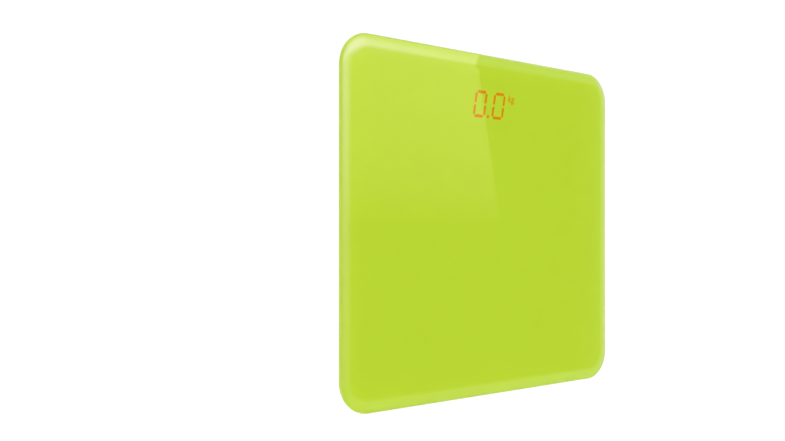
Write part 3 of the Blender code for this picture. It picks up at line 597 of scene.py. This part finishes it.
def film_top():
    """The height of the ink's upper face, just inside the glass, so that no dark gap shows."""
    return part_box("glass_platform")[0].z + FILM_BOND


def make_film(material):
    profile = ((FILM_INSET, film_top() - FILM_THICKNESS), (FILM_INSET, film_top()))
    mesh = platform_slab("colour_layer", profile)
    add_piece("colour_layer", mesh, material, HOUSING, "colour_film", slot="lime_film")


def bar(start, end):
    """A seven-segment bar with pointed ends, from tip to tip."""
    half = STROKE / 2
    (x0, y0), (x1, y1) = start, end
    if y0 == y1:
        return (
            (x0, y0),
            (x0 + half, y0 - half),
            (x1 - half, y0 - half),
            (x1, y0),
            (x1 - half, y0 + half),
            (x0 + half, y0 + half),
        )
    return (
        (x0, y0),
        (x0 + half, y0 + half),
        (x0 + half, y1 - half),
        (x0, y1),
        (x0 - half, y1 - half),
        (x0 - half, y0 + half),
    )


def zero_bars():
    """The six lit bars of the figure 0."""
    left = low = STROKE / 2
    right = DIGIT_WIDTH - left
    high = DIGIT_HEIGHT - low
    waist = DIGIT_HEIGHT / 2
    gap = SEGMENT_GAP
    return (
        bar((left + gap, high), (right - gap, high)),
        bar((right, waist + gap), (right, high - gap)),
        bar((right, low + gap), (right, waist - gap)),
        bar((left + gap, low), (right - gap, low)),
        bar((left, low + gap), (left, waist - gap)),
        bar((left, waist + gap), (left, high - gap)),
    )


def reading_outlines():
    """The bars and the point of the reading 0.0, upright and measured from the display's base."""
    outlines = []
    for x in (FIRST_LIT_DIGIT, FIRST_LIT_DIGIT + DIGIT_PITCH):
        outlines += [[(x + px, py) for px, py in outline] for outline in zero_bars()]
    left = FIRST_LIT_DIGIT + POINT_OFFSET
    right = left + STROKE
    high = POINT_LOW + STROKE
    outlines.append([(left, POINT_LOW), (right, POINT_LOW), (right, high), (left, high)])
    return outlines


def make_digits(material):
    """The lit reading 0.0, as thin slanting bars half sunk in the ink's upper face."""
    low = film_top() - FIGURE_THICKNESS / 2
    bm = bmesh.new()
    for outline in reading_outlines():
        verts = [bm.verts.new((x + y * DIGIT_LEAN, DISPLAY_BASE + y, low)) for x, y in outline]
        raised = bmesh.ops.extrude_face_region(bm, geom=[bm.faces.new(verts)])["geom"]
        moved = [part for part in raised if isinstance(part, bmesh.types.BMVert)]
        bmesh.ops.translate(bm, vec=(0.0, 0.0, FIGURE_THICKNESS), verts=moved)
    add_piece("lit_digits", mesh_of("lit_digits", bm), material, HOUSING, slot="lens")


def make_unit(material):
    """The lit kg, slanting like the digits and as deep in the ink."""
    text = bpy.data.curves.new("lit_unit", "FONT")
    text.body = "kg"
    text.size = UNIT_SIZE
    text.shear = DIGIT_LEAN
    text.extrude = FIGURE_THICKNESS / 2
    text.offset = UNIT_BOLD
    unit = bpy.data.objects.new("unit_text", text)
    unit.location = (UNIT_X + UNIT_BASE * DIGIT_LEAN, DISPLAY_BASE + UNIT_BASE, film_top())
    bpy.context.scene.collection.objects.link(unit)
    bpy.context.view_layer.update()
    graph = bpy.context.evaluated_depsgraph_get()
    mesh = bpy.data.meshes.new_from_object(unit.evaluated_get(graph))
    mesh.transform(unit.matrix_world @ Matrix.Diagonal((UNIT_STRETCH, 1.0, 1.0, 1.0)))
    bpy.data.objects.remove(unit)
    mesh.name = "lit_unit"
    add_piece("lit_unit", mesh, material, HOUSING, slot="lens")


# Turned pieces


def lathe(bm, profile, steps, place):
    """A turned surface, with its profile as radius and height. It gives the ring of each height."""
    turns = [math.tau * step / steps for step in range(steps)]
    rings = []
    for radius, z in profile:
        if radius == 0:
            rings.append([bm.verts.new((place.x, place.y, z))])
            continue
        ring = []
        for turn in turns:
            x = place.x + radius * math.cos(turn)
            y = place.y + radius * math.sin(turn)
            ring.append(bm.verts.new((x, y, z)))
        rings.append(ring)
    for first, second in zip(rings, rings[1:]):
        for i in range(steps):
            following = (i + 1) % steps
            if len(first) == 1:
                bm.faces.new((first[0], second[i], second[following]))
            elif len(second) == 1:
                bm.faces.new((first[i], second[0], first[following]))
            else:
                bm.faces.new((first[i], second[i], second[following], first[following]))
    return rings


def rounded_rim(radius, low, edge):
    """The lower outer edge of a turned piece, rounded, from its side to its underside."""
    return [
        (radius - edge * (1 - math.cos(turn)), low + edge * (1 - math.sin(turn)))
        for turn in quarter_arc(ARC_STEPS)
    ]


def make_pad(corner, material):
    """A rubber pad with ring grooves in its tread."""
    node = "foot_pad_" + corner
    low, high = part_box(node)
    radius = (high.x - low.x) / 2
    profile = [(0.0, high.z), (radius, high.z)] + rounded_rim(radius, low.z, PAD_EDGE)
    for inner, outer in reversed(PAD_GROOVES):
        depth = min(PAD_GROOVE_DEPTH, (outer - inner) / 2)
        slope = depth / 2
        profile += [
            (outer, low.z),
            (outer - slope, low.z + depth),
            (inner + slope, low.z + depth),
            (inner, low.z),
        ]
    profile.append((0.0, low.z))
    bm = bmesh.new()
    lathe(bm, profile, TURNED_STEPS, middle(low, high))
    mesh = mesh_of(node, bm)
    add_piece("grip_pad_" + corner, mesh, material, "foot_" + corner, node, slot="rubber")


def make_cup(corner, material):
    """The moulded foot, with its flange inside the cover and the boss that presses on the cell."""
    node = "foot_cup_" + corner
    low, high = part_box(node)
    radius = (high.x - low.x) / 2
    flange_low = low.z + FLANGE_RISE
    flange_high = flange_low + FLANGE_THICKNESS
    profile = [
        (0.0, high.z),
        (BOSS_RADIUS - CUP_EDGE, high.z),
        (BOSS_RADIUS, high.z - CUP_EDGE),
        (BOSS_RADIUS, flange_high),
        (radius, flange_high),
        (radius, flange_low),
        (CUP_RADIUS, flange_low),
    ]
    profile += rounded_rim(CUP_RADIUS, low.z, CUP_EDGE)
    profile.append((0.0, low.z))
    bm = bmesh.new()
    lathe(bm, profile, TURNED_STEPS, middle(low, high))
    mesh = mesh_of(node, bm)
    add_piece(
        "foot_shell_" + corner, mesh, material, "foot_" + corner, node, slot="foot_plastic"
    )


def cut_cross(bm, rim, place, z):
    """Closes the underside of a screw head inside its rim, with a cross recess in the middle."""
    half = CROSS_WIDTH / 2
    cross = []
    for turn in range(4):
        along = Matrix.Rotation(turn * math.pi / 2, 2)
        for point in ((CROSS_ARM, -half), (CROSS_ARM, half), (half, half)):
            x, y = along @ Vector(point)
            cross.append(bm.verts.new((place.x + x, place.y + y, z)))
    edges = []
    for ring in (rim, cross):
        for first, second in zip(ring, ring[1:] + ring[:1]):
            edges.append(bm.edges.get((first, second)) or bm.edges.new((first, second)))
    bmesh.ops.triangle_fill(bm, use_beauty=True, edges=edges)
    floor = [bm.verts.new(vert.co + Vector((0.0, 0.0, CROSS_DEPTH))) for vert in cross]
    for i in range(len(cross)):
        following = (i + 1) % len(cross)
        bm.faces.new((cross[i], cross[following], floor[following], floor[i]))
    bm.faces.new(floor)


def make_cover_screw(number, material):
    """A pan-head screw, head down."""
    node = f"cover_screw_{number}"
    low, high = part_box(node)
    place = middle(low, high)
    radius = (high.x - low.x) / 2
    profile = [
        (0.0, high.z),
        (SCREW_TIP_RADIUS, high.z - SCREW_TAPER / 2),
        (SCREW_SHANK_RADIUS, high.z - SCREW_TAPER),
        (SCREW_SHANK_RADIUS, low.z + SCREW_HEAD),
        (radius, low.z + SCREW_HEAD),
    ]
    profile += rounded_rim(radius, low.z, SCREW_HEAD / 2)
    bm = bmesh.new()
    rim = lathe(bm, profile, SCREW_STEPS, place)[-1]
    cut_cross(bm, rim, place, low.z)
    mesh = mesh_of(node, bm)
    add_piece(f"phillips_screw_{number}", mesh, material, HOUSING, node, slot="screw")


def make_button(material):
    """The unit button, with a shallow dish for a fingertip."""
    low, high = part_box("unit_button")
    radius = (high.x - low.x) / 2
    profile = [
        (0.0, high.z),
        (radius, high.z),
        (radius, high.z - BUTTON_FLANGE),
        (BUTTON_RADIUS, high.z - BUTTON_FLANGE),
    ]
    profile += rounded_rim(BUTTON_RADIUS, low.z, BUTTON_EDGE)
    for turn in quarter_arc(ARC_STEPS)[:-1]:
        profile.append((DISH_RADIUS * math.cos(turn), low.z + DISH_DEPTH * math.sin(turn) ** 2))
    profile.append((0.0, low.z + DISH_DEPTH))
    bm = bmesh.new()
    lathe(bm, profile, TURNED_STEPS, middle(low, high))
    mesh = mesh_of("button_cap", bm)
    add_piece("button_cap", mesh, material, "unit_button", "unit_button", slot="button")


def make_cell(corner, material):
    """The sensor plate, which in the real scale gives a little under the boss of its foot."""
    name = "load_cell_" + corner
    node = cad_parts[name]
    bm = bmesh.new()
    bm.from_mesh(node.data)
    bm.transform(node.matrix_world)
    bmesh.ops.remove_doubles(bm, verts=bm.verts, dist=WELD)
    mesh = mesh_of(name, bm)
    piece = add_piece("sensor_plate_" + corner, mesh, material, HOUSING, name, slot="steel")
    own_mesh(piece)


def make_pieces(steel, zinc):
    """The pieces that stand for CAD nodes, and the lit figures."""
    make_glass(glass_material())
    make_film(film_material())
    orange = lit_material()
    make_digits(orange)
    make_unit(orange)
    rubber = rubber_material()
    foot_abs = moulded("foot_abs", (0.55, 0.56, 0.55))
    for corner in CORNERS:
        make_pad(corner, rubber)
        make_cup(corner, foot_abs)
        make_cell(corner, steel)
    for number in range(1, COVER_SCREWS + 1):
        make_cover_screw(number, zinc)
    make_button(moulded("button_grey", (0.22, 0.23, 0.24)))


# CAD nodes that stay


def named(start):
    return [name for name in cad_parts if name.startswith(start)]


def paint(nodes, material):
    for name in nodes:
        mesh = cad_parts[name].data
        mesh.materials.clear()
        mesh.materials.append(material)


def paint_nodes(steel, zinc):
    """Materials for the CAD nodes that stay. The middle battery lies the other way round."""
    white_abs = moulded("white_abs", (0.74, 0.75, 0.73))
    dark_abs = moulded("dark_abs", (0.06, 0.065, 0.07))
    chip_epoxy = moulded("chip_epoxy", (0.02, 0.02, 0.022), FINE_GRAIN, (0.35, 0.50), 0.0001)
    mask_black = moulded("mask_black", (0.02, 0.02, 0.022))
    lens_orange = moulded("lens_orange", (0.84, 0.20, 0.01), FINE_GRAIN, (0.25, 0.35))
    cable_white = moulded("cable_white", (0.78, 0.78, 0.76), FINE_GRAIN, (0.40, 0.50))
    lead_red = moulded("lead_red", (0.60, 0.03, 0.02), FINE_GRAIN, (0.35, 0.45))
    lead_black = moulded("lead_black", (0.02, 0.02, 0.02), FINE_GRAIN, (0.35, 0.45))

    paint(("carrier_plate", "bottom_cover", "battery_lid"), white_abs)
    paint(named("cell_holder"), dark_abs)
    paint(named("contact_spring"), steel)
    paint(("positive_contact", "negative_contact", "clock_crystal"), steel)
    paint(("display_side_bridge", "near_side_bridge"), steel)
    paint(named("board_screw"), zinc)
    paint(["bonding_tape"], foam_material())
    paint(["circuit_board"], board_material())
    paint(("controller_chip", "switch_body", "switch_plunger"), chip_epoxy)
    paint(["display_mask"], mask_black)
    paint(["display_lens"], lens_orange)
    paint(named("cell_cable"), cable_white)
    paint(["lead_positive"], lead_red)
    paint(["lead_negative"], lead_black)
    for node in ("battery_left", "battery_middle", "battery_right"):
        paint([node], battery_material(node, positive_far=node != "battery_middle"))


def soften(name, width, angle):
    """Rounds the edges of a CAD node with modifiers, which leave its mesh as it is."""
    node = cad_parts[name]
    weld = node.modifiers.new("Weld", "WELD")
    weld.merge_threshold = WELD
    bevel = node.modifiers.new("Soften", "BEVEL")
    bevel.width = width
    bevel.segments = 2
    bevel.limit_method = "ANGLE"
    bevel.angle_limit = math.radians(angle)
    bevel.harden_normals = True
    node.data.shade_smooth()


def soften_nodes():
    """Small rounds on most of these nodes. On wires a wider angle leaves their long sides whole."""
    shells = named("battery_") + named("cell_holder")
    shells += ["bottom_cover", "carrier_plate", "controller_chip", "clock_crystal"]
    for name in shells:
        soften(name, ROUND_MOULDED, ROUND_ANGLE)
    for name in named("board_screw") + ["circuit_board", "switch_body"]:
        soften(name, ROUND_BOARD, ROUND_ANGLE)
    for name in named("cell_cable") + named("contact_spring") + named("lead_"):
        soften(name, ROUND_WIRE, ROUND_WIRE_ANGLE)


# Stage


def make_floor():
    bm = bmesh.new()
    bmesh.ops.create_grid(bm, x_segments=1, y_segments=1, size=FLOOR_REACH)
    mesh = bpy.data.meshes.new("floor")
    bm.to_mesh(mesh)
    bm.free()
    mesh.materials.append(floor_material())
    floor = bpy.data.objects.new("floor", mesh)
    bpy.context.scene.collection.objects.link(floor)


def tilt(tree, tangent):
    """The angle that has this tangent, in degrees."""
    return calc(tree, "MULTIPLY", calc(tree, "ARCTANGENT", tangent), math.degrees(1.0))


def bell(tree, value, centre, spreads):
    """The square of the distance from the centre, in spreads that differ below and above it."""
    off = calc(tree, "SUBTRACT", value, centre)
    below = calc(tree, "DIVIDE", calc(tree, "MINIMUM", off, 0.0), spreads[0])
    above = calc(tree, "DIVIDE", calc(tree, "MAXIMUM", off, 0.0), spreads[1])
    return calc(tree, "MULTIPLY_ADD", above, above, calc(tree, "MULTIPLY", below, below))


def rim_light(tree, tilt_x, tilt_y, open_part):
    """A broad soft box past the calm ceiling's left and far sides, and a glow low on the right."""
    square = calc(
        tree,
        "ADD",
        bell(tree, tilt_x, RIM_CENTRE[0], RIM_SPREAD_X),
        bell(tree, tilt_y, RIM_CENTRE[1], RIM_SPREAD_Y),
    )
    falloff = calc(tree, "EXPONENT", calc(tree, "MULTIPLY", square, -1.0))
    reach = most(tree, ramp(tree, tilt_x, *RIM_LEFT), ramp(tree, tilt_y, *RIM_FAR))
    box = product(tree, falloff, reach, open_part, RIM_LIGHT)
    glow = product(
        tree,
        ramp(tree, tilt_x, *EDGE_GLOW),
        ramp(tree, tilt_y, *EDGE_GLOW_NEAR),
        ramp(tree, tilt_y, *EDGE_GLOW_FAR),
        EDGE_GLOW_LIGHT,
    )
    return calc(tree, "ADD", box, glow)


def flag(tree, sideways, along):
    """1 where the slanting flag lets light by, and 0 behind it."""
    high = calc(tree, "MINIMUM", calc(tree, "MAXIMUM", along, 0.0), FLAG_TOP)
    stretch = calc(tree, "SQRT", calc(tree, "MULTIPLY_ADD", high, high, 1.0))
    square = calc(tree, "MULTIPLY", sideways, sideways)
    shrink = calc(tree, "SQRT", calc(tree, "SUBTRACT", 1.0, square))
    across = product(tree, calc(tree, "DIVIDE", sideways, shrink), stretch)
    past = calc(tree, "SUBTRACT", across, FLAG_X)
    rise = calc(tree, "MAXIMUM", calc(tree, "SUBTRACT", high, FLAG_Y), 0.0)
    beyond = calc(tree, "MULTIPLY_ADD", rise, FLAG_SLOPE, past)
    return ramp(tree, beyond, FLAG_BLUR, -FLAG_BLUR)


def shine_light(tree, tilt_x, tilt_y, open_part):
    """A warm window that fades out towards straight up, cut short by the flag."""
    past = calc(tree, "MAXIMUM", calc(tree, "SUBTRACT", tilt_y, SHINE_START), 0.0)
    fade = calc(tree, "EXPONENT", calc(tree, "DIVIDE", past, -SHINE_FADE))
    return product(
        tree,
        calc(tree, "SUBTRACT", 1.0, fade),
        open_part,
        ramp(tree, tilt_x, *SHINE_LEFT),
        ramp(tree, tilt_y, *SHINE_FAR),
        SHINE_LIGHT,
    )


def strip_light(tree, tilt_x, tilt_y):
    """White surroundings that begin a little way past the calm part of the ceiling."""
    level = most(
        tree,
        ramp(tree, tilt_x, *STRIP_LEFT),
        ramp(tree, tilt_x, *STRIP_RIGHT),
        ramp(tree, tilt_y, *STRIP_FAR),
        ramp(tree, tilt_y, *STRIP_NEAR),
    )
    color = mix_color(tree, level, CALM_COLOR, WHITE)
    strength = calc(tree, "MULTIPLY_ADD", level, STRIP_LIGHT - CALM_LIGHT, CALM_LIGHT)
    return tinted(tree, color, strength)


def mirrored_light(tree, parts):
    """What the glass mirrors, from the direction's parts."""
    up = calc(tree, "MAXIMUM", parts.outputs["Z"], LEAST_HEIGHT)
    along = calc(tree, "DIVIDE", parts.outputs["Y"], up)
    tilt_x = tilt(tree, calc(tree, "DIVIDE", parts.outputs["X"], up))
    tilt_y = tilt(tree, along)
    open_part = flag(tree, parts.outputs["X"], along)
    rim = tinted(tree, RIM_COLOR, rim_light(tree, tilt_x, tilt_y, open_part))
    shine = tinted(tree, SHINE_COLOR, shine_light(tree, tilt_x, tilt_y, open_part))
    return sum_of(tree, sum_of(tree, rim, shine), strip_light(tree, tilt_x, tilt_y))


def dome_light(tree, height, seen):
    """Light from all round, a little stronger from above, which the camera sees as plain white."""
    soft = ramp(tree, height, *DOME_HEIGHTS, *DOME_LIGHT)
    unseen = calc(tree, "SUBTRACT", 1.0, seen)
    return calc(tree, "ADD", calc(tree, "MULTIPLY", soft, unseen), seen)


def make_world():
    """A soft white studio dome, with the lights that show as reflections in the glass."""
    world = bpy.data.worlds.new("studio")
    world.use_nodes = True
    tree = world.node_tree
    tree.nodes.clear()
    way = tree.nodes.new("ShaderNodeTexCoord").outputs["Generated"]
    parts = new_node(tree, "ShaderNodeSeparateXYZ", Vector=way)
    rays = tree.nodes.new("ShaderNodeLightPath").outputs
    outside = calc(tree, "SUBTRACT", 1.0, rays["Is Transmission Ray"])
    reflected = calc(tree, "MULTIPLY", rays["Is Glossy Ray"], outside)
    dome = dome_light(tree, parts.outputs["Z"], rays["Is Camera Ray"])
    direct = calc(tree, "MULTIPLY", dome, calc(tree, "SUBTRACT", 1.0, reflected))
    mirrored = tinted(tree, mirrored_light(tree, parts), reflected)
    light = sum_of(tree, mirrored, tinted(tree, WHITE, direct))
    background = new_node(tree, "ShaderNodeBackground", Color=light, Strength=1.0)
    output = tree.nodes.new("ShaderNodeOutputWorld")
    tree.links.new(background.outputs[0], output.inputs["Surface"])
    bpy.context.scene.world = world


def make_camera():
    data = bpy.data.cameras.new("camera")
    data.lens = CAMERA_LENS
    data.sensor_width = CAMERA_SENSOR
    data.shift_y = CAMERA_SHIFT
    data.clip_start = CAMERA_CLIP
    camera = bpy.data.objects.new("camera", data)
    bpy.context.scene.collection.objects.link(camera)
    ahead = Vector((math.cos(CAMERA_DOWN), 0.0, -math.sin(CAMERA_DOWN)))
    right = Vector((math.sin(CAMERA_DOWN), 0.0, math.cos(CAMERA_DOWN)))
    above = Vector((0.0, 1.0, 0.0))
    turned = Matrix((right, above, -ahead)).transposed().to_4x4()
    camera.matrix_world = Matrix.Translation(CAMERA_PLACE) @ turned
    bpy.context.scene.camera = camera


def main():
    settings = bpy.context.scene.view_settings
    settings.view_transform = "Standard"
    settings.look = "None"
    make_camera()
    make_world()
    make_floor()
    steel = metal_material("nickel_steel", (0.60, 0.60, 0.60), 0.30, (0.05, 1.0, 1.0))
    zinc = metal_material("zinc_plate", (0.66, 0.68, 0.70), 0.34, (1.0, 1.0, 0.2))
    make_pieces(steel, zinc)
    paint_nodes(steel, zinc)
    soften_nodes()


main()
